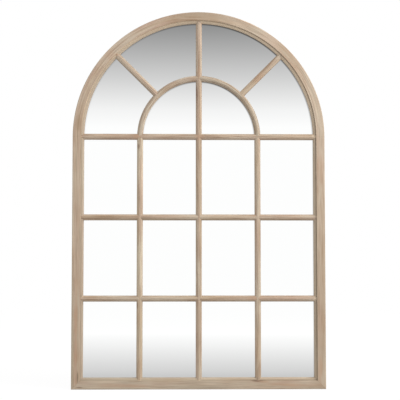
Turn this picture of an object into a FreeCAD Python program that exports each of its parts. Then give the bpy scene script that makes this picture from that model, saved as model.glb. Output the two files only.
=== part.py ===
"""Arched window mirror in limed fir: one mitred, rebated moulding with a half-round head sawn in five
segments, half-round glazing bars halved and scribed over one silvered plate, a backing board held by
glazing points and two D-ring hangers. Millimetres. Front is -Y, the wall is +Y, up is +Z. The origin
lies midway between the two ring pivots, on the plane of the frame's back.

A level is a distance in front of the back plane (so y = -level). An inset is a distance from the
frame's outer edge inwards.
"""

import FreeCAD, Part
import math
import os
import re

import Sketcher
from FreeCAD import Placement, Rotation, Vector

# name, value, what it is
SIZES = (
    ("frame_width", 1000, "across the stiles, which is also the diameter of the arch"),
    ("leg_height", 995, "from the bottom edge to the springing line"),
    ("hanger_drop", 60, "from the springing line down to the ring pivots"),
    ("moulding_width", 45, "frame moulding, seen from the front"),
    ("quirk_depth", 6.5, "from the top of the sticking up to the face"),
    ("outer_arris", 3, "rounding of the outer front edge"),
    ("inner_arris", 1.5, "rounding of the face's inner edge"),
    ("lip_radius", 11.5, "quarter-round sticking beside the glass"),
    ("glass_lap", 8, "width of the glass rebate"),
    ("board_seat", 12, "width of the step that the backing board lies on"),
    ("back_recess", 5, "from the frame's back to the backing board"),
    ("board_thickness", 3, "backing board"),
    ("glass_thickness", 4, "mirror plate"),
    ("seamed_edge", 0.5, "ground-off edge of the mirror plate"),
    ("edge_clearance", 1, "round the mirror plate and the board, in their rebates"),
    ("bar_half", 12, "half the width of a glazing bar, and the radius of its round"),
    ("bar_foot", 0.5, "straight foot under the round of the uprights and cross bars"),
    ("ring_foot", 0.3, "the same, inner arch"),
    ("spoke_foot", 0.1, "the same, spokes"),
    ("spoke_tilt", 45, "degrees from the vertical to each spoke"),
    ("scribe_allowance", 3, "how far a bar runs past the quirk before it is scribed"),
    ("tenon_root", 6, "length of a stub tenon that stays inside its own bar"),
    ("frame_tenon", 14, "reach of a stub tenon into the frame"),
    ("bar_tenon", 7, "reach of a stub tenon into another bar"),
    ("glue_gap", 0.1, "round a tenon or a screw in its hole"),
    ("slip_length", 40, "loose tenon across a joint of the frame"),
    ("slip_width", 16, "its width"),
    ("slip_thickness", 6, "its thickness"),
    ("nail_wing", 6, "length of each wing of a V-nail"),
    ("nail_sheet", 0.8, "thickness of a V-nail"),
    ("nail_depth", 10, "how deep a V-nail is driven"),
    ("point_bite", 8, "how far a glazing point is driven into the frame"),
    ("point_lap", 7, "how far it lies over the board"),
    ("point_width", 8, "width of a glazing point"),
    ("point_sheet", 0.6, "thickness of a glazing point"),
    ("point_end", 100, "from the ends of a stile to its first and last points"),
    ("point_spread", 9, "degrees from the middle of a segment to each of its points"),
    ("screw_radius", 1.75, "hanger screw"),
    ("screw_head", 3.25, "its head radius"),
    ("screw_rise", 2.2, "its head height"),
    ("screw_length", 15, "its length under the head"),
    ("screw_tip", 3, "length of its point"),
    ("head_taper", 1.1, "how much narrower the head is on top"),
    ("recess_span", 1.5, "half the span of the cross recess"),
    ("recess_slot", 0.35, "half the width of its slots"),
    ("recess_depth", 1, "its depth"),
    ("strap_width", 12, "hanger strap"),
    ("strap_sheet", 1, "its thickness"),
    ("strap_end", 8, "from the second screw to its lower end"),
    ("strap_corner", 5, "rounding of its lower corners"),
    ("strap_hole_play", 0.25, "round a screw in the strap"),
    ("head_gap", 3.75, "from the hanging ring down to the first screw's head"),
    ("screw_pitch", 16, "between the two screws of a strap"),
    ("ring_wire", 1.5, "radius of the D-ring's wire"),
    ("ring_play", 0.15, "round the wire in the strap's knuckle"),
    ("ring_side_play", 0.5, "from the strap's edge to the bend of the ring"),
    ("ring_corner", 3, "bend radius at its two corners"),
    ("ring_leg", 4, "from the pivot to the start of the bow"),
)

ARCH = ("arch_foot_right", "arch_haunch_right", "arch_crown", "arch_haunch_left", "arch_foot_left")
CROSS_BARS = ("upper_cross_bar", "middle_cross_bar", "lower_cross_bar")
UPRIGHTS = {"left_upright_bar": -1, "centre_upright_bar": 0, "right_upright_bar": 1}
SIDES = {"left": -1, "right": 1}
TINY = 1e-6
SEGMENT = 180 / len(ARCH)  # degrees
COLUMNS = len(UPRIGHTS) + 1
STILE_POINTS = 5
MITRE_NAILS = 2

# derived places, as expressions on the sheet
HALF = "frame_width / 2"
SPRING = "hanger_drop"
BASE = "(hanger_drop - leg_height)"
BOARD_FRONT = "(back_recess + board_thickness)"
GLASS = "(back_recess + board_thickness + glass_thickness)"
DEPTH = "(back_recess + board_thickness + glass_thickness + lip_radius + quirk_depth)"
QUIRK = "(moulding_width - lip_radius)"
REBATE = "(moulding_width - glass_lap)"
SEAT = "(moulding_width - glass_lap - board_seat)"
SIGHT = "(frame_width / 2 - moulding_width)"  # from the centre line to the inner edge of the frame
COLUMN = f"((frame_width - 2 * moulding_width + 2 * bar_half) / {COLUMNS})"
ROW = f"((leg_height - moulding_width + bar_half) / {len(CROSS_BARS)})"
TENON_WIDTH = "(2 * bar_half / 3)"
TENON_HEIGHT = "(bar_half / 2)"
TENON_LOW = f"({GLASS} + bar_half / 6)"  # level of a tenon's underside
KNUCKLE = "(ring_wire + ring_play)"  # inner radius of the strap's knuckle
PIVOT = "(strap_sheet + ring_wire + ring_play)"  # from the frame's back to the pivot
RING_BEND = "(strap_width / 2 + ring_side_play)"  # from the ring's middle to the start of its bends
RING_REACH = "(strap_width / 2 + ring_side_play + ring_corner)"  # and to the middle of its legs
UPPER_SCREW = f"(ring_leg + {RING_REACH} + ring_wire + head_gap + screw_head)"
LOWER_SCREW = f"({UPPER_SCREW} + screw_pitch)"
STRAP_LENGTH = f"({LOWER_SCREW} + strap_end)"
HANGER = f"({HALF} - {SEAT} / 2)"  # from the centre line to the middle of a strap

doc = FreeCAD.newDocument("arched_window_mirror")
sheet = doc.addObject("Spreadsheet::Sheet", "Sizes")
for row, (name, number, meaning) in enumerate(SIZES, start=1):
    sheet.set(f"A{row}", name)
    sheet.set(f"B{row}", str(number))
    sheet.setAlias(f"B{row}", name)
    sheet.set(f"C{row}", meaning)
doc.recompute()

ALIAS = re.compile(r"\b(" + "|".join(name for name, _, _ in SIZES) + r")\b")


def on_sheet(expression):
    return ALIAS.sub(r"Sizes.\1", str(expression))


def bind(thing, name, expression):
    thing.setExpression(name, on_sheet(expression))


def value(expression):
    return float(sheet.evalExpression(on_sheet(expression)))


def lay(thing, x="0", z="0", tilt="0", corner=("0", "0", "0")):
    """Places a thing at (x, z), turned about Y so that its own Z leans by `tilt` degrees towards +X.
    `corner` is where its own origin goes in that turned frame."""
    turned = f"placement(vector({x}; 0; {z}); rotation(vector(0; 1; 0); {tilt}))"
    shifted = f"placement(vector({corner[0]}; {corner[1]}; {corner[2]}); rotation(vector(0; 1; 0); 0))"
    bind(thing, "Placement", f"{turned} * {shifted}")


# ---- sketches and bodies ----


def origin_feature(body, role):
    return next(f for f in body.Origin.OriginFeatures if f.Role == role)


def pin(sketch, kind, edge, point, expression):
    """Fixes one coordinate of a sketch point to an expression."""
    if expression == "0":
        axis = -2 if kind == "DistanceX" else -1
        sketch.addConstraint(Sketcher.Constraint("PointOnObject", edge, point, axis))
        return
    index = sketch.addConstraint(Sketcher.Constraint(kind, -1, 1, edge, point, value(expression)))
    bind(sketch, f"Constraints[{index}]", expression)


def outline(sketch, corners):
    """Draws a closed outline. A corner is (x, y) for a straight line to it, or (x, y, cx, cy) for the
    shorter arc to it about (cx, cy), or (x, y, cx, cy, turn) with turn 1 for anticlockwise."""
    spots = [Vector(value(c[0]), value(c[1]), 0) for c in corners]
    ends = []  # which ends of each piece are its start and its finish
    for i, corner in enumerate(corners):
        here, there = spots[i - 1], spots[i]
        if len(corner) == 2:
            sketch.addGeometry(Part.LineSegment(here, there), False)
            ends.append((1, 2))
            continue
        centre = Vector(value(corner[2]), value(corner[3]), 0)
        a, b = here - centre, there - centre
        turn = corner[4] if len(corner) > 4 else a.x * b.y - a.y * b.x
        first, last = (a, b) if turn > 0 else (b, a)
        circle = Part.Circle(centre, Vector(0, 0, 1), a.Length)
        arc = Part.ArcOfCircle(circle, math.atan2(first.y, first.x), math.atan2(last.y, last.x))
        sketch.addGeometry(arc, False)
        ends.append((1, 2) if turn > 0 else (2, 1))
    for i, corner in enumerate(corners):
        after = (i + 1) % len(corners)
        meet = Sketcher.Constraint("Coincident", i, ends[i][1], after, ends[after][0])
        sketch.addConstraint(meet)
        pin(sketch, "DistanceX", i, ends[i][1], corner[0])
        pin(sketch, "DistanceY", i, ends[i][1], corner[1])
        if len(corner) > 2:
            level = corner[0] == corners[i - 1][0]  # a chord parallel to Y leaves the centre's X free
            kind, place = ("DistanceX", corner[2]) if level else ("DistanceY", corner[3])
            pin(sketch, kind, i, 3, place)


def sketch_on(body, role, corners=(), offset="0"):
    """A sketch on one of the body's own origin planes, moved along that plane's normal by `offset`."""
    sketch = body.newObject("Sketcher::SketchObject", f"{body.Name}_{role}")
    sketch.AttachmentSupport = [(origin_feature(body, role), "")]
    sketch.MapMode = "FlatFace"
    bind(sketch, "AttachmentOffset.Base.z", offset)
    if corners:
        outline(sketch, corners)
    return sketch


def pad(name, role, corners, length, offset="0", middle=False):
    body = doc.addObject("PartDesign::Body", name)
    feature = body.newObject("PartDesign::Pad", f"{name}_pad")
    feature.Profile = sketch_on(body, role, corners, offset)
    feature.SideType = "Symmetric" if middle else "One side"
    bind(feature, "Length", length)
    return body


def revolve(name, corners, angle=360):
    """A body turned about its own Y axis; a part turn runs from +X up towards +Z."""
    body = doc.addObject("PartDesign::Body", name)
    feature = body.newObject("PartDesign::Revolution", f"{name}_turn")
    feature.Profile = sketch_on(body, "XY_Plane", corners)
    feature.ReferenceAxis = (origin_feature(body, "Y_Axis"), [""])
    feature.Angle = angle
    feature.Reversed = True
    return body


def pocket_through(body, role, corners):
    """Cuts an outline right through a body, both ways from the plane."""
    feature = body.newObject("PartDesign::Pocket", f"{body.Name}_pocket")
    feature.Profile = sketch_on(body, role, corners)
    feature.Type = "ThroughAll"
    feature.SideType = "Symmetric"


# ---- booleans ----


def combine(kind, name, base, tool):
    thing = doc.addObject(f"Part::{kind}", name)
    thing.Base = base
    thing.Tool = tool
    return thing


def cut(name, base, *tools):
    for count, tool in enumerate(tools, start=1):
        base = combine("Cut", f"{name}_cut_{count}", base, tool)
    return base


def fuse(name, base, *tools):
    for count, tool in enumerate(tools, start=1):
        base = combine("Fuse", f"{name}_fuse_{count}", base, tool)
        base.Refine = True
    return base


def group(name, master, places):
    """Copies of one small part as a single object of separate solids."""
    doc.recompute()
    thing = doc.addObject("Part::Feature", name)
    thing.Shape = Part.makeCompound(
        [master.Shape.transformed(place.toMatrix()) for place in places]
    )
    return thing


def together(name, things):
    """One cutting tool out of many separate ones."""
    thing = doc.addObject("Part::Compound", name)
    thing.Links = things
    return thing


finished = {}  # node name: (object, how many solids it has)


def finish(name, thing, solids=1):
    thing.Label = name
    finished[name] = (thing, solids)


# ---- the frame moulding ----


def moulding(across):
    """Section of the frame moulding. `across` turns an inset and a level into a sketch point."""
    arris = f"({DEPTH} - outer_arris)"
    quirk_arris = f"({QUIRK} - inner_arris)", f"({DEPTH} - inner_arris)"
    return [
        across("0", "0"),
        across("0", arris),
        across("outer_arris", DEPTH) + across("outer_arris", arris),
        across(quirk_arris[0], DEPTH),
        across(QUIRK, quirk_arris[1]) + across(*quirk_arris),
        across(QUIRK, f"({GLASS} + lip_radius)"),
        across("moulding_width", GLASS) + across(QUIRK, GLASS),
        across(REBATE, GLASS),
        across(REBATE, BOARD_FRONT),
        across(SEAT, BOARD_FRONT),
        across(SEAT, "0"),
    ]


def upright_section(side):
    return moulding(lambda inset, level: (f"{side} * ({HALF} - {inset})", negative(level)))


def rail_section():
    return moulding(lambda inset, level: (negative(level), f"{BASE} + {inset}"))


def negative(level):
    return "0" if level == "0" else f"-{level}"


def raw_stile(name, side):
    body = pad(name, "XY_Plane", upright_section(side), "leg_height", BASE)
    mitre = [
        (f"{side} * {HALF}", BASE),
        (f"{side} * {SIGHT}", BASE),
        (f"{side} * {SIGHT}", f"{BASE} + moulding_width"),
    ]
    pocket_through(body, "XZ_Plane", mitre)
    return body


def raw_rail(name):
    body = pad(name, "YZ_Plane", rail_section(), "frame_width", middle=True)
    for side in SIDES.values():
        mitre = [
            (f"{side} * {HALF}", BASE),
            (f"{side} * {SIGHT}", f"{BASE} + moulding_width"),
            (f"{side} * {HALF}", f"{BASE} + moulding_width"),
        ]
        pocket_through(body, "XZ_Plane", mitre)
    return body


def raw_segment(name, number):
    body = revolve(name, upright_section(1), SEGMENT)
    lay(body, "0", SPRING, -number * SEGMENT)
    return body


# ---- the glazing bars ----


def half_round(centre, foot):
    """Section of a glazing bar standing on the glass, drawn across X."""
    left, right = f"{centre} - bar_half", f"{centre} + bar_half"
    shoulder = f"-({GLASS} + {foot})"
    return [
        (right, f"-{GLASS}"),
        (left, f"-{GLASS}"),
        (left, shoulder),
        (right, shoulder, centre, shoulder, 1),
    ]


def straight_bar(name, foot, length, x="0", z="0", tilt="0", start="0"):
    body = pad(name, "XY_Plane", half_round("0", foot), length, start)
    lay(body, x, z, tilt)
    return body


def block(name, width, low, high, length, x, z, tilt="0", start="0"):
    """A box across `width`, between two levels, from `start` along its own Z."""
    box = doc.addObject("Part::Box", name)
    bind(box, "Length", width)
    bind(box, "Width", f"{high} - {low}")
    bind(box, "Height", length)
    lay(box, x, z, tilt, (f"-({width}) / 2", f"-({high})", start))
    return box


mortises = []


def stub(name, x, z, tilt, reach):
    """A stub tenon. (x, z) is where the middle of the bar meets the edge of the piece that takes the
    tenon, and the tenon points along `tilt`. Its mortise joins the list."""
    low, high = TENON_LOW, f"({TENON_LOW} + {TENON_HEIGHT})"
    length = f"(tenon_root + {reach})"
    seat = (x, z, tilt, "-tenon_root")
    mortise = block(
        f"{name}_mortise",
        f"({TENON_WIDTH} + 2 * glue_gap)",
        f"({low} - glue_gap)",
        f"({high} + glue_gap)",
        f"{length} + glue_gap",
        *seat,
    )
    mortises.append(mortise)
    return block(f"{name}_tenon", TENON_WIDTH, low, high, length, *seat)


def bar_height(number):
    """Height of a cross bar's middle, counted down from the springing line."""
    return f"({SPRING} - {number} * {ROW})"


# ---- small parts ----


def loose_tenon(name, gap="0"):
    """A flat slip of wood across a joint of the frame, its middle on the joint."""
    slip = doc.addObject("Part::Box", name)
    sizes = (f"slip_width + 2 * {gap}", f"slip_thickness + 2 * {gap}", f"slip_length + 2 * {gap}")
    for side, size in zip(("Length", "Width", "Height"), sizes):
        bind(slip, side, size)
    corner = "; ".join(f"-({size}) / 2" for size in sizes)
    bind(slip, "Placement", f"placement(vector({corner}); rotation(vector(0; 1; 0); 0))")
    return slip


def glazing_point(name):
    """A flat steel tag, driven into the frame towards +X and lying on the board behind it."""
    tag = doc.addObject("Part::Box", name)
    bind(tag, "Length", "point_bite + edge_clearance + point_lap")
    bind(tag, "Width", "point_sheet")
    bind(tag, "Height", "point_width")
    corner = "vector(-edge_clearance - point_lap; 0; -point_width / 2)"
    bind(tag, "Placement", f"placement({corner}; rotation(vector(0; 1; 0); 0))")
    return tag


def v_nail(name):
    """A V of sheet steel whose point lies on the mitre. Its wings run towards -X and +Z."""
    wing, sheet_edge = "nail_wing", "nail_sheet"
    vee = [
        ("0", "0"),
        (f"-{wing}", "0"),
        (f"-{wing}", sheet_edge),
        (f"-{sheet_edge}", sheet_edge),
        (f"-{sheet_edge}", wing),
        ("0", wing),
    ]
    return pad(name, "XZ_Plane", vee, "nail_depth")


def pan_head(name):
    """A screw with a cross recess. Its head stands on y = 0 and faces +Y."""
    corners = [
        ("0", "screw_rise"),
        ("screw_head - head_taper", "screw_rise"),
        ("screw_head", "0"),
        ("screw_radius", "0"),
        ("screw_radius", "-(screw_length - screw_tip)"),
        ("0", "-screw_length"),
    ]
    body = revolve(name, corners)
    slot, span = "recess_slot", "recess_span"
    steps = [(slot, slot), (slot, span), (f"-{slot}", span)]  # one arm, then turned by quarters
    plus = []
    for _ in range(4):
        plus += steps
        steps = [(negative(y), x) for x, y in steps]
    recess = body.newObject("PartDesign::Pocket", f"{name}_recess")
    recess.Profile = sketch_on(body, "XZ_Plane", plus, "-screw_rise")
    bind(recess, "Length", "recess_depth")
    return body


def pilot(name):
    """The hole of a hanger screw, from the strap's face into the stile."""
    hole = doc.addObject("Part::Cylinder", name)
    bind(hole, "Radius", "screw_radius + glue_gap")
    bind(hole, "Height", "screw_length + glue_gap")
    bind(hole, "Placement", "placement(vector(0; 0; 0); rotation(vector(1; 0; 0); 90))")
    return hole


def spot(x, level, z, turn=0):
    """A place in the frame, turned about Y from +Z towards +X by `turn` degrees."""
    return Placement(Vector(x, -level, z), Rotation(Vector(0, 1, 0), turn))


def on_arch(inset, level, angle):
    """A place on the arch, `angle` degrees up from the right springing, its own X pointing outwards."""
    radius = value(HALF) - inset
    across = math.radians(angle)
    x, z = radius * math.cos(across), value(SPRING) + radius * math.sin(across)
    return spot(x, level, z, -angle)


def slip_places():
    for number in range(len(ARCH) + 1):
        yield on_arch(value(QUIRK) / 2, value(DEPTH) / 2, number * SEGMENT)


def point_places():
    """Round the rebate: the stiles, then the rail below the panes, then the arch."""
    inset, level = value(SEAT), value("back_recess")
    reach, base = value(HALF) - inset, value(BASE)
    end = value("point_end")
    step = (value("leg_height") - 2 * end) / (STILE_POINTS - 1)
    for side in SIDES.values():
        for number in range(STILE_POINTS):
            yield spot(side * reach, level, base + end + number * step, 0 if side > 0 else 180)
    for number in range(COLUMNS):
        yield spot((number - (COLUMNS - 1) / 2) * value(COLUMN), level, base + inset, 90)
    for number in range(len(ARCH)):
        for spread in (-value("point_spread"), value("point_spread")):
            yield on_arch(inset, level, (number + 0.5) * SEGMENT + spread)


def nail_places():
    for side in SIDES.values():
        for number in range(1, MITRE_NAILS + 1):
            inset = value(SEAT) * number / (MITRE_NAILS + 1)
            yield spot(side * (value(HALF) - inset), 0, value(BASE) + inset, 0 if side > 0 else 90)


def screw_places():
    for side in SIDES.values():
        for drop in (UPPER_SCREW, LOWER_SCREW):
            yield spot(side * value(HANGER), -value("strap_sheet"), -value(drop))


# ---- raw frame ----

raw = {f"{side}_stile": raw_stile(f"raw_{side}_stile", sign) for side, sign in SIDES.items()}
raw["bottom_rail"] = raw_rail("raw_bottom_rail")
for number, name in enumerate(ARCH):
    raw[name] = raw_segment(f"raw_{name}", number)

# ---- cross bars: scribed over the frame's sticking, slotted for the tongues of the uprights ----

between = f"(2 * ({HALF} - {QUIRK} + scribe_allowance))"
rise = "(bar_foot + bar_half)"
cross, slotted, cores = {}, {}, {name: [] for name in UPRIGHTS}
for number, name in enumerate(CROSS_BARS):
    start = f"-{between} / 2"
    cross[name] = straight_bar(f"raw_{name}", "bar_foot", between, start, bar_height(number), "90")
    slots = []
    for upright, column in UPRIGHTS.items():
        if number == 0 and column:
            continue  # the side uprights stop under the upper cross bar
        slot = block(
            f"{name}_{upright}_slot",
            TENON_WIDTH,
            f"({GLASS} + {rise} / 2)",
            f"({GLASS} + 2 * {rise})",
            "4 * bar_half",
            f"{column} * {COLUMN}",
            bar_height(number),
            start="-2 * bar_half",
        )
        slots.append(slot)
        cores[upright].append(combine("Common", f"{name}_{upright}_core", cross[name], slot))
    slotted[name] = cut(f"{name}_slotted", cross[name], *slots)

tenoned = {}
for number, name in enumerate(CROSS_BARS):
    receivers = [raw["left_stile"], raw["right_stile"]]
    if number == 0:
        receivers += [raw["arch_foot_left"], raw["arch_foot_right"]]
    tenons = []
    for side, sign in SIDES.items():
        edge = f"{sign} * {SIGHT}"
        tenons.append(stub(f"{name}_{side}", edge, bar_height(number), sign * 90, "frame_tenon"))
    tenoned[name] = fuse(name, cut(f"{name}_scribed", slotted[name], *receivers), *tenons)

# ---- uprights: cores through the cross bars, the round scribed over them ----

foot = f"({BASE} + {QUIRK} - scribe_allowance)"
upright_bars = {}
for name, column in UPRIGHTS.items():
    middle = f"{column} * {COLUMN}"
    top, shoulder, reach = SPRING, f"{SPRING} - bar_half", "bar_tenon"
    receivers = [raw["bottom_rail"], *slotted.values()]
    if not column:
        top = f"({SPRING} + {HALF} - {QUIRK} + scribe_allowance)"
        shoulder, reach = f"{SPRING} + {SIGHT}", "frame_tenon"
        receivers.append(raw["arch_crown"])
    bar = straight_bar(f"raw_{name}", "bar_foot", f"{top} - {foot}", middle, start=foot)
    upright_bars[name] = bar
    tenons = [
        stub(f"{name}_head", middle, shoulder, "0", reach),
        stub(f"{name}_foot", middle, f"{BASE} + moulding_width", "180", "frame_tenon"),
    ]
    whole = fuse(f"{name}_whole", bar, *cores[name])
    tenoned[name] = fuse(name, cut(f"{name}_scribed", whole, *receivers), *tenons)

# ---- inner arch and spokes ----

for side, sign in SIDES.items():
    name = f"inner_arch_{side}"
    bar = revolve(f"raw_{name}", half_round(COLUMN, "ring_foot"), 90)
    lay(bar, "0", SPRING, "0" if sign > 0 else "-90")
    raw[name] = bar
    tenons = [
        stub(f"{name}_foot", f"{sign} * {COLUMN}", f"{SPRING} + bar_half", "180", "bar_tenon"),
        stub(f"{name}_head", f"{sign} * bar_half", f"{SPRING} + {COLUMN}", -sign * 90, "bar_tenon"),
    ]
    scribed = cut(f"{name}_scribed", bar, cross["upper_cross_bar"], upright_bars["centre_upright_bar"])
    tenoned[name] = fuse(name, scribed, *tenons)


def on_spoke(sign, radius):
    """A point on a spoke's middle line, `radius` from the centre of the arches."""
    across = f"({sign} * ({radius}) * sin(spoke_tilt * 1deg))"
    up = f"({SPRING} + ({radius}) * cos(spoke_tilt * 1deg))"
    return across, up


for side, sign in SIDES.items():
    name = f"spoke_{side}"
    length = f"({HALF} - {QUIRK} + scribe_allowance - {COLUMN})"
    bar = straight_bar(f"raw_{name}", "spoke_foot", length, "0", SPRING, f"{sign} * spoke_tilt", COLUMN)
    inwards = f"({sign} * spoke_tilt + 180)"
    tenons = [
        stub(f"{name}_foot", *on_spoke(sign, f"{COLUMN} + bar_half"), inwards, "bar_tenon"),
        stub(f"{name}_head", *on_spoke(sign, SIGHT), f"{sign} * spoke_tilt", "frame_tenon"),
    ]
    scribed = cut(f"{name}_scribed", bar, raw[f"inner_arch_{side}"], raw[f"arch_haunch_{side}"])
    tenoned[name] = fuse(name, scribed, *tenons)

# ---- mirror plate and backing board ----


def arched_plate(name, inset, level, thickness):
    """A plate of the frame's outline, `inset` inside it, with its rear face at `level`."""
    reach = f"({HALF} - {inset})"
    corners = [
        (f"-{reach}", f"{BASE} + {inset}"),
        (reach, f"{BASE} + {inset}"),
        (reach, SPRING),
        (f"-{reach}", SPRING, "0", SPRING, 1),
    ]
    return pad(name, "XZ_Plane", corners, thickness, level)


glass = arched_plate("mirror_glass", f"({REBATE} + edge_clearance)", BOARD_FRONT, "glass_thickness")
doc.recompute()
square_edged = glass.Tip
numbered = enumerate(glass.Shape.Faces, start=1)
broad = [f"Face{i}" for i, face in numbered if abs(face.normalAt(0, 0).y) > 0.9]
seam = glass.newObject("PartDesign::Chamfer", "mirror_glass_seam")
seam.Base = (square_edged, broad)
bind(seam, "Size", "seamed_edge")
finish("mirror_glass", glass)

board = arched_plate("backing_board", f"({SEAT} + edge_clearance)", "back_recess", "board_thickness")
finish("backing_board", board)

# ---- fastenings, and the frame and bars cut for them ----

groups = (
    ("loose_tenons", loose_tenon("loose_tenon"), list(slip_places())),
    ("glazing_points", glazing_point("glazing_point"), list(point_places())),
    ("corner_nails", v_nail("corner_nail"), list(nail_places())),
    ("hanger_screws", pan_head("hanger_screw"), list(screw_places())),
)
for name, master, places in groups:
    finish(name, group(name, master, places), len(places))

holes = [
    group("loose_tenon_mortises", loose_tenon("loose_tenon_mortise", "glue_gap"), slip_places()),
    group("hanger_screw_holes", pilot("hanger_screw_hole"), screw_places()),
    finished["glazing_points"][0],
    finished["corner_nails"][0],
]
frame_holes = together("frame_holes", holes + mortises)
for name in ("left_stile", "right_stile", "bottom_rail", *ARCH):
    finish(name, cut(name, raw[name], frame_holes))
for name, bar in tenoned.items():
    others = [mortise for mortise in mortises if not mortise.Name.startswith(name)]
    finish(name, cut(name, bar, together(f"{name}_mortises", others)))

# ---- D-ring hangers ----


def circles(sketch, places, radius):
    """Full circles at (x, y) places."""
    for index, (x, y) in enumerate(places):
        circle = Part.Circle(Vector(value(x), value(y), 0), Vector(0, 0, 1), value(radius))
        sketch.addGeometry(circle, False)
        pin(sketch, "DistanceX", index, 3, x)
        pin(sketch, "DistanceY", index, 3, y)
        size = sketch.addConstraint(Sketcher.Constraint("Radius", index, value(radius)))
        bind(sketch, f"Constraints[{size}]", radius)


def strap(name):
    """A strip of sheet, curled into an open knuckle round the pivot at its upper end."""
    corners = [
        ("0", f"-{STRAP_LENGTH}"),
        ("strap_sheet", f"-{STRAP_LENGTH}"),
        ("strap_sheet", "0"),
        (PIVOT, f"-{KNUCKLE}", PIVOT, "0", -1),
        (PIVOT, f"-({KNUCKLE} + strap_sheet)"),
        ("0", "0", PIVOT, "0", 1),
    ]
    body = pad(name, "YZ_Plane", corners, "strap_width", middle=True)
    holes = sketch_on(body, "XZ_Plane")
    drops = [("0", f"-{UPPER_SCREW}"), ("0", f"-{LOWER_SCREW}")]
    circles(holes, drops, "(screw_radius + strap_hole_play)")
    drilled = body.newObject("PartDesign::Pocket", f"{name}_holes")
    drilled.Profile = holes
    drilled.Type = "ThroughAll"
    drilled.SideType = "Symmetric"
    doc.recompute()
    box = body.Shape.BoundBox
    ends = []
    for index, edge in enumerate(body.Shape.Edges, start=1):
        runs_through = abs(edge.BoundBox.YLength - value("strap_sheet")) < TINY
        if runs_through and edge.BoundBox.ZLength < TINY and abs(edge.BoundBox.ZMin - box.ZMin) < TINY:
            ends.append(f"Edge{index}")
    rounded = body.newObject("PartDesign::Fillet", f"{name}_corners")
    rounded.Base = (drilled, ends)
    bind(rounded, "Radius", "strap_corner")
    return body


def d_ring(name):
    """Round wire swept along a D: a straight bar in the knuckle, two corners, two legs and the bow."""
    body = doc.addObject("PartDesign::Body", name)
    leg = "-ring_leg"
    corners = [
        (RING_BEND, "0"),
        (RING_REACH, "-ring_corner", RING_BEND, "-ring_corner"),
        (RING_REACH, leg),
        (f"-{RING_REACH}", leg, "0", leg, -1),
        (f"-{RING_REACH}", "-ring_corner"),
        (f"-{RING_BEND}", "0", f"-{RING_BEND}", "-ring_corner"),
    ]
    path = sketch_on(body, "XZ_Plane", corners, f"-{PIVOT}")
    wire = sketch_on(body, "YZ_Plane")
    circles(wire, [(PIVOT, "0")], "ring_wire")
    doc.recompute()
    swept = body.newObject("PartDesign::AdditivePipe", f"{name}_sweep")
    swept.Profile = wire
    swept.Spine = (path, [f"Edge{i}" for i in range(1, len(corners) + 1)])
    return body


for side, sign in SIDES.items():
    for name, make in ((f"hanger_strap_{side}", strap), (f"d_ring_{side}", d_ring)):
        thing = make(name)
        lay(thing, f"{sign} * {HANGER}")
        finish(name, thing)

# ---- check and write ----

doc.recompute()
broken = [o.Label for o in doc.Objects if "Invalid" in o.State or "Error" in o.State]
if broken:
    raise SystemExit(f"not computed: {broken}")
os.makedirs("parts", exist_ok=True)
for name, (thing, solids) in finished.items():
    shape = thing.Shape
    if shape.isNull() or not shape.isValid() or len(shape.Solids) != solids:
        raise SystemExit(f"{name}: {len(shape.Solids)} solids, valid {shape.isValid()}")
    shape.exportStep(f"parts/{name}.step")
    print(f"{name:22s} {solids:3d} solid(s) {shape.Volume / 1000:10.2f} cm3")
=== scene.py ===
"""Looks of the arched window mirror: limed fir round one silvered plate, lit softly from the upper right.
Metres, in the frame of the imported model: front -Y, up +Z, origin midway between the ring pivots."""

import math

import bpy
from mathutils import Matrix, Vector


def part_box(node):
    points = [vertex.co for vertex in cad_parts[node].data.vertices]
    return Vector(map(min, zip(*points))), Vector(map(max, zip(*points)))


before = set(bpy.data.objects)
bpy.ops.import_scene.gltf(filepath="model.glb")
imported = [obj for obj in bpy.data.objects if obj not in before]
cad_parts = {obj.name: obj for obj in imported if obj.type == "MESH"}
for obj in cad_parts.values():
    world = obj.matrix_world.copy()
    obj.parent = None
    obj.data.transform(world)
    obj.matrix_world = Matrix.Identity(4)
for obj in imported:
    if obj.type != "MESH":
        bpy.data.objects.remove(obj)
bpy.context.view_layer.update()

# ---- places read from the frame ----

rail_low, rail_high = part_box("bottom_rail")
_, crown_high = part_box("arch_crown")
_, stile_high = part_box("right_stile")
glass_low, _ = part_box("mirror_glass")
_, inner_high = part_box("inner_arch_right")
cross_low, cross_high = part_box("upper_cross_bar")

FLOOR = rail_low.z
SPRING = stile_high.z
HALF = rail_high.x
MOULDING = rail_high.z - rail_low.z
FACE = rail_low.y  # the frame's front plane
GLASS = glass_low.y  # the plate's front plane
INNER_EDGE = inner_high.x - (cross_high.z - cross_low.z)  # radius of the inner arch's underside

STICKING = 0.0115  # width of the quarter round beside the glass
QUIRK = HALF - MOULDING + STICKING  # where the frame's face drops to it

ARCH = ("arch_foot_right", "arch_haunch_right", "arch_crown", "arch_haunch_left", "arch_foot_left")
SEGMENT = 180 / len(ARCH)


# ---- shader nodes ----


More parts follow.
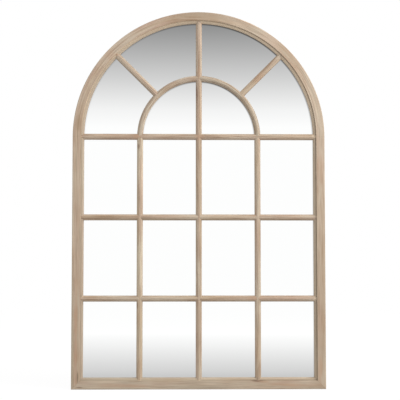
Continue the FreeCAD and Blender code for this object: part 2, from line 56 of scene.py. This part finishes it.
class Nodes:
    """A node tree, with short calls for the nodes that it needs."""

    def __init__(self, tree):
        self.tree = tree

    def add(self, kind, **settings):
        node = self.tree.nodes.new(f"ShaderNode{kind}")
        for name, setting in settings.items():
            setattr(node, name, setting)
        return node

    def feed(self, socket, source):
        """Links a socket to another one, or sets it to a plain value."""
        if isinstance(source, bpy.types.NodeSocket):
            self.tree.links.new(source, socket)
        else:
            socket.default_value = source

    def math(self, operation, *terms, clamp=False):
        node = self.add("Math", operation=operation, use_clamp=clamp)
        for socket, term in zip(node.inputs, terms):
            self.feed(socket, term)
        return node.outputs[0]

    def minus(self, a, b):
        return self.math("SUBTRACT", a, b)

    def times(self, first, *others):
        product = first
        for other in others:
            product = self.math("MULTIPLY", product, other)
        return product

    def length(self, a, b):
        return self.math("SQRT", self.math("ADD", self.times(a, a), self.times(b, b)))

    def mix(self, factor, a, b, blend="MIX"):
        node = self.add("Mix", data_type="RGBA", blend_type=blend, clamp_factor=True)
        self.feed(node.inputs["Factor"], factor)
        self.feed(node.inputs[6], a)
        self.feed(node.inputs[7], b)
        return node.outputs[2]

    def spread(self, value, low, high, to_low=0.0, to_high=1.0, smooth=False):
        """Maps low..high to to_low..to_high, and stays at the ends outside it."""
        node = self.add("MapRange", interpolation_type="SMOOTHSTEP" if smooth else "LINEAR")
        for name, term in (("Value", value), ("From Min", low), ("From Max", high)):
            self.feed(node.inputs[name], term)
        node.inputs["To Min"].default_value = to_low
        node.inputs["To Max"].default_value = to_high
        return node.outputs[0]

    def scaled(self, vector, scale, shift=(0, 0, 0)):
        node = self.add("Mapping")
        self.feed(node.inputs["Vector"], vector)
        node.inputs["Scale"].default_value = scale
        node.inputs["Location"].default_value = shift
        return node.outputs[0]

    def split(self, vector):
        node = self.add("SeparateXYZ")
        self.feed(node.inputs[0], vector)
        return node.outputs

    def noise(self, vector, detail=3.0, roughness=0.5):
        node = self.add("TexNoise")
        self.feed(node.inputs["Vector"], vector)
        node.inputs["Scale"].default_value = 1.0
        node.inputs["Detail"].default_value = detail
        node.inputs["Roughness"].default_value = roughness
        return node.outputs["Fac"]

    def dot(self, vector, direction):
        node = self.add("VectorMath", operation="DOT_PRODUCT")
        self.feed(node.inputs[0], vector)
        node.inputs[1].default_value = direction
        return node.outputs["Value"]

    def greys(self, factor, stops):
        """A ramp of greys. stops: (place, tone from 0 to 255)."""
        node = self.add("ValToRGB")
        self.feed(node.inputs[0], factor)
        elements = node.color_ramp.elements
        while len(elements) < len(stops):
            elements.new(0.5)
        for element, (place, level) in zip(elements, stops):
            element.position = place
            element.color = tone(level, level, level)
        return node.outputs[0]

    def position(self):
        return self.add("TexCoord").outputs["Object"]

    def rays(self):
        """Whether a ray comes straight from the camera, whether metal or glass passed it on, and how often
        it was scattered before."""
        path = self.add("LightPath").outputs
        passed_on = self.math("ADD", path["Is Glossy Ray"], path["Is Transmission Ray"], clamp=True)
        return path["Is Camera Ray"], passed_on, path["Diffuse Depth"]


class Shader(Nodes):
    """A material's nodes, with its surface."""

    def __init__(self, name):
        self.material = bpy.data.materials.new(name)
        self.material.use_nodes = True
        super().__init__(self.material.node_tree)
        self.surface = self.tree.nodes["Principled BSDF"]

    def bump(self, height, distance, strength):
        node = self.add("Bump")
        self.feed(node.inputs["Height"], height)
        node.inputs["Distance"].default_value = distance
        node.inputs["Strength"].default_value = strength
        self.feed(self.surface.inputs["Normal"], node.outputs[0])


def tone(red, green, blue):
    """A colour as it looks on screen, 0 to 255, turned into a linear one."""
    channels = []
    for value in (red, green, blue):
        value /= 255
        channels.append(value / 12.92 if value <= 0.04045 else ((value + 0.055) / 1.055) ** 2.4)
    return (*channels, 1.0)


# ---- limed fir ----

PALE = tone(212, 196, 175)
PINKISH = tone(197, 167, 147)
TAN = tone(188, 163, 134)
STREAK = tone(150, 119, 95)
GREYED = tone(178, 166, 146)
LIME = tone(200, 189, 171)
CREAM = tone(228, 207, 180)
SMOKED = tone(164, 139, 112)
ROSY = tone(188, 149, 120)
KNOT = tone(118, 80, 62)
# dark for the glued joints, and painted shade in the quirk and beside the glass
SHADE_AND_JOINT_DARK = tone(84, 66, 50)
RAW = tone(214, 182, 142)

ROUND = "round"  # grain that follows the arch and runs straight on down the legs
SEED_STEP = (0.37, 0.11, 0.73)  # how far apart two pieces of wood lie in the noise

# Noises in the wood: cycles per metre across, in depth and along the grain, shift, detail, roughness.
FIGURE = {
    "broad": ((55, 55, 1.7), (0, 0, 0), 2.5, 0.55),
    "streaks": ((150, 150, 4.2), (3, 1, 7), 3.5, 0.62),
    "lines": ((330, 330, 8.0), (4, 6, 2), 2, 0.6),
    "fibre": ((1100, 1100, 30), (5, 2, 1), 3, 0.65),
    "patch": ((14, 14, 4.5), (8, 4, 2), 2, 0.5),
    "clouds": ((50, 50, 14), (1, 9, 4), 3, 0.5),
}

# Sizes of fine lines: how far from their edge they start, and how far they are full.
# painted shade lines, beside the quirk and the glass
SHADE_LINE = (0.0038, 0.0008)  # beside the quirk and the glass
SEAM_LINE = (0.0008, 0.0001)
BARE_BACK = (0.0008, 0.0002)  # in front of the back plane

# Where the wood's tones, painted light and painted shade change, from and to: behind the face, across the
# frame (x) and up it (z).
SUNK = (FACE + 0.002, FACE + 0.005)
PAINTED_LIGHT_ACROSS, PAINTED_LIGHT_UP = (-0.42, 0.12), (SPRING - 0.02, SPRING + 0.20)
QUIRK_ACROSS, QUIRK_UP = (-0.05, 0.22), (SPRING - 0.03, SPRING + 0.08)
OVERHEAD = (SPRING - 0.1, SPRING + 0.2)


def above_spring(shader, z):
    return shader.math("MAXIMUM", shader.minus(z, SPRING), 0.0)


def grain_of(shader, position, run, seed):
    """Coordinates with X across the member, Y its depth and Z along its grain.
    run: ROUND, or degrees from +Z towards +X."""
    shift = [step * seed for step in SEED_STEP]
    if run != ROUND:
        turned = shader.add("Mapping")
        shader.feed(turned.inputs["Vector"], position)
        turned.inputs["Rotation"].default_value = (0, -math.radians(run), 0)
        turned.inputs["Location"].default_value = shift
        return turned.outputs[0]
    x, depth, z = shader.split(position)
    rise = above_spring(shader, z)
    drop = shader.math("MAXIMUM", shader.minus(SPRING, z), 0.0)
    round_arch = shader.times(shader.math("ARCTAN2", x, rise), HALF - MOULDING / 2)
    down_leg = shader.times(shader.math("SIGN", x), drop)
    combined = shader.add("CombineXYZ")
    shader.feed(combined.inputs[0], shader.length(x, rise))
    shader.feed(combined.inputs[1], depth)
    shader.feed(combined.inputs[2], shader.math("ADD", round_arch, down_leg))
    return shader.scaled(combined.outputs[0], (1, 1, 1), shift)


def marked(shader, wood, position, clouds, marks):
    """Soft smudges and knots. marks: (x, z, half width, half height, strength, colour)."""
    ragged = shader.spread(clouds, 0.3, 0.7, -0.3, 0.3)
    for x, z, wide, high, strength, colour in marks:
        away = shader.add("VectorMath", operation="LENGTH")
        local = shader.scaled(position, (1 / wide, 0, 1 / high), (-x / wide, 0, -z / high))
        shader.feed(away.inputs[0], local)
        reach = shader.math("ADD", away.outputs["Value"], ragged)
        spot = shader.spread(reach, 1.25, 0.35, to_high=strength, smooth=True)
        wood = shader.mix(spot, wood, colour)
    return wood


def sticking_toned(shader, wood, place, sticking):
    """The sticking is greyed and gets painted light, growing towards the right and the top where it lies in
    shade; the quirk gets painted shade where it turns from the light, and painted light on the arch where it
    faces it. Returns the wood and where the sticking is.
    """
    x, depth, z = place
    if sticking == "rail":
        reach = shader.minus(FLOOR + HALF, z)
    else:
        reach = shader.length(x, above_spring(shader, z))
    inwards = shader.minus(QUIRK, reach)
    behind_face = shader.spread(depth, *SUNK)
    before_glass = shader.spread(depth, GLASS + 0.001, GLASS)
    sunk = shader.times(behind_face, before_glass, shader.spread(inwards, -0.0004, 0.0))
    wood = shader.mix(shader.times(sunk, 0.50), wood, GREYED)

    # painted light: the sticking paler towards the right and the top, where it lies in shade
    painted_light = shader.spread(x, *PAINTED_LIGHT_ACROSS, to_high=0.80)
    painted_light = shader.times(painted_light, shader.spread(z, *PAINTED_LIGHT_UP, to_low=0.22))
    wood = shader.mix(shader.times(sunk, painted_light), wood, CREAM)

    # painted shade in the quirk where its wall turns from the light, painted light where it faces it on the
    # arch
    near_quirk = shader.times(shader.spread(inwards, *SHADE_LINE), sunk)
    turned_away = shader.spread(x, *QUIRK_ACROSS)
    on_arch = shader.spread(z, *QUIRK_UP)
    quirk_shade_and_light = shader.mix(turned_away, shader.mix(on_arch, GREYED, CREAM), SHADE_AND_JOINT_DARK)
    return shader.mix(shader.times(near_quirk, 0.50), wood, quirk_shade_and_light), sunk


def seamed(shader, wood, position, seams):
    """Hairlines at the glued joints. seams: (direction x, direction z, offset), a plane's distance into
    the piece being direction . position - offset."""
    line = 0.0
    for x, z, offset in seams:
        inside = shader.minus(shader.dot(position, (x, 0, z)), offset)
        line = shader.math("MAXIMUM", shader.spread(inside, *SEAM_LINE), line)
    return shader.mix(shader.times(line, 0.22), wood, SHADE_AND_JOINT_DARK)


def fir(name, run, seed, marks=(), seams=(), wash=0.625, bold=0.75, tint=(1, 1, 1), sticking=None):
    """Fir washed thinly with lime, its streaks along the member. wash: how thick the lime is. bold: how
    dark the streaks are. sticking: "ring" or "rail" where the piece carries the frame's moulding."""
    shader = Shader(name)
    position = shader.position()
    grain = grain_of(shader, position, run, seed)
    noises = {}
    for kind, (scale, shift, detail, roughness) in FIGURE.items():
        noises[kind] = shader.noise(shader.scaled(grain, scale, shift), detail, roughness)
    clouds = noises["clouds"]

    layers = (
        ("broad", 0.38, 0.62, 1.0, TAN),
        ("patch", 0.42, 0.62, 0.85, PALE),
        ("streaks", 0.50, 0.70, bold, STREAK),
        ("streaks", 0.46, 0.32, 0.65, GREYED),
        ("lines", 0.46, 0.34, 0.38, CREAM),
        ("lines", 0.52, 0.68, 0.75 * bold, STREAK),
        ("fibre", 0.52, 0.80, 0.15, STREAK),
    )
    wood = PINKISH
    for kind, start, full, most, colour in layers:
        wood = shader.mix(shader.spread(noises[kind], start, full, to_high=most), wood, colour)

    # lime: a thin film, thicker in patches and in the open earlywood, rubbed off along the streaks
    film = shader.spread(clouds, 0.35, 0.70, to_low=0.10, to_high=0.60)
    film = shader.times(film, shader.spread(noises["fibre"], 0.35, 0.65, to_low=1.15, to_high=0.70))
    film = shader.math("MULTIPLY", film, wash, clamp=True)
    wood = shader.mix(film, wood, LIME)

    if marks:
        wood = marked(shader, wood, position, clouds, marks)
    place = shader.split(position)
    _, depth, z = place
    # painted shade on the wood beside the glass, stronger towards the top
    shade_by_glass = shader.spread(depth, *[GLASS - distance for distance in SHADE_LINE], to_high=0.75)
    if sticking:
        wood, sunk = sticking_toned(shader, wood, place, sticking)
        shade_by_glass = shader.times(shade_by_glass, sunk)
    overhead = shader.spread(z, *OVERHEAD, to_low=0.28)
    wood = shader.mix(shader.times(shade_by_glass, overhead), wood, SHADE_AND_JOINT_DARK)

    # the back was left bare
    bare = shader.spread(depth, *[-distance for distance in BARE_BACK], to_high=0.45)
    wood = shader.mix(bare, wood, RAW)

    if seams:
        wood = seamed(shader, wood, position, seams)
    wood = shader.mix(1.0, wood, (*tint, 1), blend="MULTIPLY")

    shader.feed(shader.surface.inputs["Base Color"], wood)
    shader.feed(shader.surface.inputs["Roughness"], shader.spread(clouds, 0.3, 0.7, 0.52, 0.70))
    shader.surface.inputs["Specular IOR Level"].default_value = 0.32
    relief = shader.math("ADD", shader.times(noises["fibre"], 0.25), shader.times(noises["lines"], 0.5))
    relief = shader.math("ADD", relief, shader.times(noises["streaks"], 0.4))
    shader.bump(relief, distance=0.0004, strength=0.6)
    return shader.material


def wear(node, material):
    """Gives a CAD node its material."""
    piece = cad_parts[node]
    piece.data.materials.clear()
    piece.data.materials.append(material)


# Smudges and knots that the photograph shows: x, z, half width, half height, strength, colour.
HEAD_MARKS = [
    (-0.479, 0.110, 0.014, 0.030, 0.45, SMOKED),
    (-0.352, 0.385, 0.026, 0.030, 0.35, ROSY),
    (-0.375, 0.325, 0.010, 0.010, 0.45, SMOKED),
    (-0.045, 0.528, 0.055, 0.0035, 0.60, STREAK),
    (-0.020, 0.539, 0.050, 0.0025, 0.50, STREAK),
    (0.0, 0.560, 0.170, 0.060, 0.50, SMOKED),
    (0.275, 0.440, 0.050, 0.050, 0.35, PINKISH),
]
LEG_MARKS = [
    (-0.482, -0.73, 0.0080, 0.220, 0.42, ROSY),
    (-0.496, -0.73, 0.0055, 0.280, 0.60, GREYED),
    # a painted shade line in the quirk at the left stile's foot
    (-0.474, -0.885, 0.0030, 0.024, 0.55, SHADE_AND_JOINT_DARK),
    (0.480, -0.60, 0.060, 0.480, 0.42, SMOKED),
    (0.478, -0.855, 0.009, 0.060, 0.35, ROSY),
    (0.462, -0.70, 0.004, 0.160, 0.45, STREAK),
    (0.228, -0.901, 0.030, 0.006, 0.70, KNOT),
    (0.255, -0.905, 0.020, 0.006, 0.40, ROSY),
    (-0.467, -0.927, 0.016, 0.003, 0.55, KNOT),
    (-0.30, -0.921, 0.110, 0.008, 0.35, ROSY),
    (0.02, -0.926, 0.170, 0.007, 0.55, GREYED),
    (0.37, -0.918, 0.110, 0.007, 0.30, ROSY),
]
BAR_MARKS = {
    "centre_upright_bar": [
        (-0.008, 0.235, 0.0040, 0.046, 0.70, KNOT),
        (0.0, 0.310, 0.008, 0.030, 0.35, ROSY),
        (0.0, 0.060, 0.016, 0.016, 0.50, ROSY),
    ],
    "left_upright_bar": [
        (-0.2385, 0.020, 0.006, 0.012, 0.50, KNOT),
        (-0.243, -0.607, 0.007, 0.014, 0.40, KNOT),
    ],
    "right_upright_bar": [
        (0.240, -0.862, 0.010, 0.040, 0.45, STREAK),
        (0.240, 0.045, 0.010, 0.020, 0.40, ROSY),
        (0.240, -0.590, 0.010, 0.020, 0.45, SMOKED),
    ],
    "upper_cross_bar": [
        (0.0, 0.060, 0.020, 0.012, 0.50, ROSY),
        (-0.245, 0.060, 0.014, 0.012, 0.45, ROSY),
        (0.460, 0.064, 0.010, 0.010, 0.60, CREAM),
    ],
    "middle_cross_bar": [(-0.38, -0.260, 0.090, 0.008, 0.45, SMOKED)],
    "lower_cross_bar": [
        (0.215, -0.581, 0.030, 0.009, 0.45, ROSY),
        (0.460, -0.579, 0.008, 0.012, 0.60, CREAM),
        (-0.460, -0.572, 0.008, 0.006, 0.50, CREAM),
    ],
    "spoke_left": [(-0.330, 0.387, 0.012, 0.012, 0.55, ROSY)],
    "spoke_right": [(0.240, 0.295, 0.024, 0.026, 0.35, ROSY), (0.322, 0.382, 0.016, 0.016, 0.60, PALE)],
}

BARS = {
    "upper_cross_bar": 90,
    "middle_cross_bar": 90,
    "lower_cross_bar": 90,
    "left_upright_bar": 0,
    "centre_upright_bar": 0,
    "right_upright_bar": 0,
    "inner_arch_left": ROUND,
    "inner_arch_right": ROUND,
    "spoke_left": -45,
    "spoke_right": 45,
}
BAR_LOOK = {"wash": 0.5625, "bold": 1.0}
BAR_TINT = (0.96, 0.96, 0.96)
RAIL_TINT = (0.94, 0.93, 0.92)
# painted light and shade: these bars are made darker or paler for how the light falls on them
LIGHT_AND_SHADE_TINTS = {  # bars that are darker or paler than the rest
    "inner_arch_right": (0.84, 0.85, 0.85),
    "inner_arch_left": (0.94, 0.96, 0.98),
    "left_upright_bar": (1.05, 1.08, 1.06),
}
FRAME_SEED = 0.6
RAIL_SEED = 11.9
BAR_SEED, BAR_SEED_STEP = 20.3, 1.3
DIAGONAL = math.sqrt(0.5)
CORNER = DIAGONAL * (HALF + FLOOR)  # offset of the mitres' planes


def seam_at(angle, side):
    """A joint plane through the arch's centre, `angle` degrees up from the right springing. The piece lies
    on its left (side 1) or its right (side -1)."""
    across = math.radians(angle + 90 * side)
    x, z = math.cos(across), math.sin(across)
    return (x, z, z * SPRING)


for number, name in enumerate(ARCH):
    ends = (seam_at(number * SEGMENT, 1), seam_at((number + 1) * SEGMENT, -1))
    wear(name, fir(name, ROUND, FRAME_SEED, HEAD_MARKS, ends, sticking="ring"))
for sign, name in ((-1, "left_stile"), (1, "right_stile")):
    ends = ((sign * DIAGONAL, DIAGONAL, CORNER), (0, -1, -SPRING))
    wear(name, fir(name, ROUND, FRAME_SEED, LEG_MARKS, ends, sticking="ring"))
mitres = [(sign * DIAGONAL, -DIAGONAL, -CORNER) for sign in (-1, 1)]
name = "bottom_rail"
wear(name, fir(name, 90, RAIL_SEED, LEG_MARKS, mitres, sticking="rail", tint=RAIL_TINT))
for number, (name, run) in enumerate(BARS.items()):
    seed = BAR_SEED + BAR_SEED_STEP * number
    marks = BAR_MARKS.get(name, ())
    shade = LIGHT_AND_SHADE_TINTS.get(name, BAR_TINT)
    wear(name, fir(name, run, seed, marks, tint=shade, **BAR_LOOK))


# ---- the plate, the board and the metal ----

# Painted shade lines on the plate: how far from the edge beside them they start, and how far they are full.
UNDER_HEAD = (0.0060, 0.0025)
UNDER_INNER = (0.0050, 0.0015)
BEHIND_INNER = (-0.004, -0.003)
BESIDE_STILE = (0.0040, 0.0010)


def silvered():
    """Silvered glass, with painted shade lines along the head's sticking, the right stile and under the inner
    arch, strongest at the top and towards the right, standing in for the shaded gap that the plate mirrors."""
    shader = Shader("silvered_plate")
    x, _, z = shader.split(shader.position())
    rise = shader.minus(z, SPRING)
    radius = shader.length(x, rise)
    under_head = shader.spread(shader.minus(HALF - MOULDING, radius), *UNDER_HEAD)
    inner = shader.minus(INNER_EDGE, radius)
    under_inner = shader.times(shader.spread(inner, *UNDER_INNER), shader.spread(inner, *BEHIND_INNER))
    overhead = shader.spread(shader.math("DIVIDE", rise, radius), 0.0, 0.8, to_low=0.4)
    sideways = shader.spread(shader.math("DIVIDE", x, radius), -0.7, 0.4, to_low=0.25)
    shade = shader.math("MAXIMUM", under_head, under_inner)
    shade = shader.times(shade, shader.times(overhead, sideways), shader.math("GREATER_THAN", rise, 0.0))
    beside = shader.spread(shader.minus(HALF - MOULDING, x), *BESIDE_STILE, to_high=0.35)
    shade = shader.math("MAXIMUM", shade, beside)
    # painted shade: the silver turns dark brown along these lines
    silver = shader.mix(shader.times(shade, 0.78), (0.985, 0.99, 0.988, 1), tone(70, 64, 58))
    shader.feed(shader.surface.inputs["Base Color"], silver)
    shader.surface.inputs["Metallic"].default_value = 1.0
    shader.surface.inputs["Roughness"].default_value = 0.0
    return shader.material


def fibreboard():
    shader = Shader("fibreboard")
    position = shader.position()
    flecks = shader.noise(shader.scaled(position, (420, 420, 420)), detail=4, roughness=0.7)
    cloud = shader.noise(shader.scaled(position, (5, 5, 5)))
    colour = shader.mix(shader.spread(flecks, 0.35, 0.7), tone(176, 144, 108), tone(146, 114, 82))
    colour = shader.mix(shader.spread(cloud, 0.35, 0.7, to_high=0.5), colour, tone(188, 158, 122))
    shader.feed(shader.surface.inputs["Base Color"], colour)
    shader.surface.inputs["Roughness"].default_value = 0.82
    shader.bump(flecks, distance=0.0003, strength=0.5)
    return shader.material


def beech():
    shader = Shader("beech")
    flecks = shader.noise(shader.scaled(shader.position(), (500, 500, 60)))
    colour = shader.mix(shader.spread(flecks, 0.4, 0.65), tone(214, 180, 140), tone(184, 142, 104))
    shader.feed(shader.surface.inputs["Base Color"], colour)
    shader.surface.inputs["Roughness"].default_value = 0.6
    return shader.material


def zinc(name, light, dark):
    """Zinc-plated steel: bluish grey, brushed thinly, a little duller in patches."""
    shader = Shader(name)
    position = shader.position()
    cloud = shader.noise(shader.scaled(position, (300, 300, 300)))
    scratch = shader.noise(shader.scaled(position, (4000, 900, 300)), detail=2)
    shader.feed(shader.surface.inputs["Base Color"], shader.mix(shader.spread(cloud, 0.35, 0.7), light, dark))
    shader.surface.inputs["Metallic"].default_value = 1.0
    shader.feed(shader.surface.inputs["Roughness"], shader.spread(cloud, 0.3, 0.7, 0.26, 0.44))
    shader.bump(scratch, distance=0.00008, strength=0.5)
    return shader.material


wear("mirror_glass", silvered())
wear("backing_board", fibreboard())
wear("loose_tenons", beech())
plating = zinc("zinc_plate", tone(206, 208, 212), tone(170, 173, 178))
bright_steel = zinc("bright_steel", tone(190, 192, 196), tone(150, 152, 156))
for name in ("hanger_strap_left", "hanger_strap_right", "d_ring_left", "d_ring_right", "hanger_screws"):
    wear(name, plating)
for name in ("glazing_points", "corner_nails"):
    wear(name, bright_steel)


# ---- floor ----

FLOOR_FRONT, FLOOR_BACK, FLOOR_SIDE = -14.0, 6.0, 9.0
FLOOR_BOUNCE = 0.45  # how much light it throws back at the object
FLOOR_GLOW, FLOOR_SHADE = 0.91, 0.10  # as seen: an even part, and a part that the object shades
FLOOR_FADE = 5.0  # its tones, as the plate shows them, lie along this much of it
FLOOR_TONES = ((0.096, 200), (0.148, 211), (0.272, 226), (0.432, 241), (0.660, 255))


def floor():
    """A pale floor. Its nearest stretch, as the plate shows it, is a little dimmer: painted shade near the
    object.
    """
    mesh = bpy.data.meshes.new("floor")
    front = [(side, FLOOR_FRONT, FLOOR) for side in (-FLOOR_SIDE, FLOOR_SIDE)]
    back = [(side, FLOOR_BACK, FLOOR) for side in (FLOOR_SIDE, -FLOOR_SIDE)]
    mesh.from_pydata(front + back, [], [(0, 1, 2, 3)])
    plane = bpy.data.objects.new("floor", mesh)
    bpy.context.collection.objects.link(plane)

    shader = Shader("pale_floor")
    shader.surface.inputs["Base Color"].default_value = (FLOOR_BOUNCE, FLOOR_BOUNCE, FLOOR_BOUNCE, 1)
    shader.surface.inputs["Roughness"].default_value = 0.9
    away = shader.dot(shader.position(), (0, -1, 0))
    # painted shade: seen by way of the plate, the floor is greyer nearer the object
    mirrored_grey = shader.greys(shader.spread(away, 0.0, FLOOR_FADE), FLOOR_TONES)
    direct, passed_on, _ = shader.rays()
    colour = shader.mix(direct, mirrored_grey, (1, 1, 1, 1))
    glow = shader.add("Emission")
    shader.feed(glow.inputs["Color"], colour)
    glow.inputs["Strength"].default_value = FLOOR_GLOW
    lit = shader.add("BsdfDiffuse")
    shader.feed(lit.inputs["Color"], shader.mix(FLOOR_SHADE, (0, 0, 0, 1), colour))
    pale = shader.add("AddShader")
    shader.feed(pale.inputs[0], glow.outputs[0])
    shader.feed(pale.inputs[1], lit.outputs[0])
    blend = shader.add("MixShader")
    shader.feed(blend.inputs[0], shader.math("ADD", direct, passed_on, clamp=True))
    shader.feed(blend.inputs[1], shader.surface.outputs[0])
    shader.feed(blend.inputs[2], pale.outputs[0])
    shader.feed(shader.tree.nodes["Material Output"].inputs["Surface"], blend.outputs[0])
    mesh.materials.append(shader.material)


floor()


# ---- light ----

FILL = 0.70  # radiance of the soft light from all round
FILL_SLOPE = (0.06, 0.0, 0.28)  # how it rises to the right and upwards
CEILING = (0.12, 0.24)  # sines of the heights between which the plate shows the ceiling
CEILING_TONES = ((0.05, 255), (0.18, 245), (0.41, 212), (0.64, 177), (0.82, 145))
KEY_DIRECTION = Vector((0.75, -0.45, 0.48)).normalized()
KEY_DISTANCE = 4.0
KEY_SIZE = 2.0
KEY_WATTS = 98
KEY_COLOUR = (1.0, 0.975, 0.94)


def studio():
    """White where the camera looks, a pale ceiling in the plate, and an even fill for the wood."""
    world = bpy.data.worlds.new("studio")
    bpy.context.scene.world = world
    world.use_nodes = True
    world.node_tree.nodes.clear()
    sky = Nodes(world.node_tree)
    direction = sky.add("TexCoord").outputs["Generated"]
    ceiling = sky.greys(sky.spread(sky.dot(direction, (0, 0, 1)), *CEILING), CEILING_TONES)
    fill = sky.math("ADD", sky.dot(direction, FILL_SLOPE), FILL)
    direct, passed_on, scatterings = sky.rays()
    # a ray that comes from the wood by way of the plate finds plain fill
    unscattered = sky.math("LESS_THAN", scatterings, 0.5)
    colour = sky.mix(sky.times(passed_on, unscattered), fill, ceiling)
    colour = sky.mix(direct, colour, (1, 1, 1, 1))
    background = sky.add("Background")
    sky.feed(background.inputs["Color"], colour)
    sky.feed(sky.add("OutputWorld").inputs["Surface"], background.outputs[0])


def key_light():
    lamp = bpy.data.lights.new("key", "AREA")
    lamp.size = KEY_SIZE
    lamp.energy = KEY_WATTS
    lamp.color = KEY_COLOUR
    light = bpy.data.objects.new("key", lamp)
    centre = Vector((0, 0, (FLOOR + crown_high.z) / 2))
    light.location = centre + KEY_DIRECTION * KEY_DISTANCE
    light.rotation_euler = KEY_DIRECTION.to_track_quat("Z", "Y").to_euler()
    bpy.context.collection.objects.link(light)


studio()
key_light()


# ---- camera ----

CAMERA_SPOT = (-0.073, -4.25, -0.440)
CAMERA_PITCH = 3.356  # degrees up
CAMERA_YAW = -1.053  # degrees, anticlockwise seen from above
FOCAL_PIXELS = 1069.2
PICTURE = 400
SENSOR = 36.0
SIGHT = 60  # how far the camera sees

lens = bpy.data.cameras.new("camera")
lens.sensor_width = SENSOR
lens.lens = SENSOR * FOCAL_PIXELS / PICTURE
lens.clip_end = SIGHT
camera = bpy.data.objects.new("camera", lens)
camera.location = CAMERA_SPOT
camera.rotation_euler = (math.radians(90 + CAMERA_PITCH), 0, math.radians(CAMERA_YAW))
bpy.context.collection.objects.link(camera)
bpy.context.scene.camera = camera
bpy.context.scene.view_settings.view_transform = "Standard"
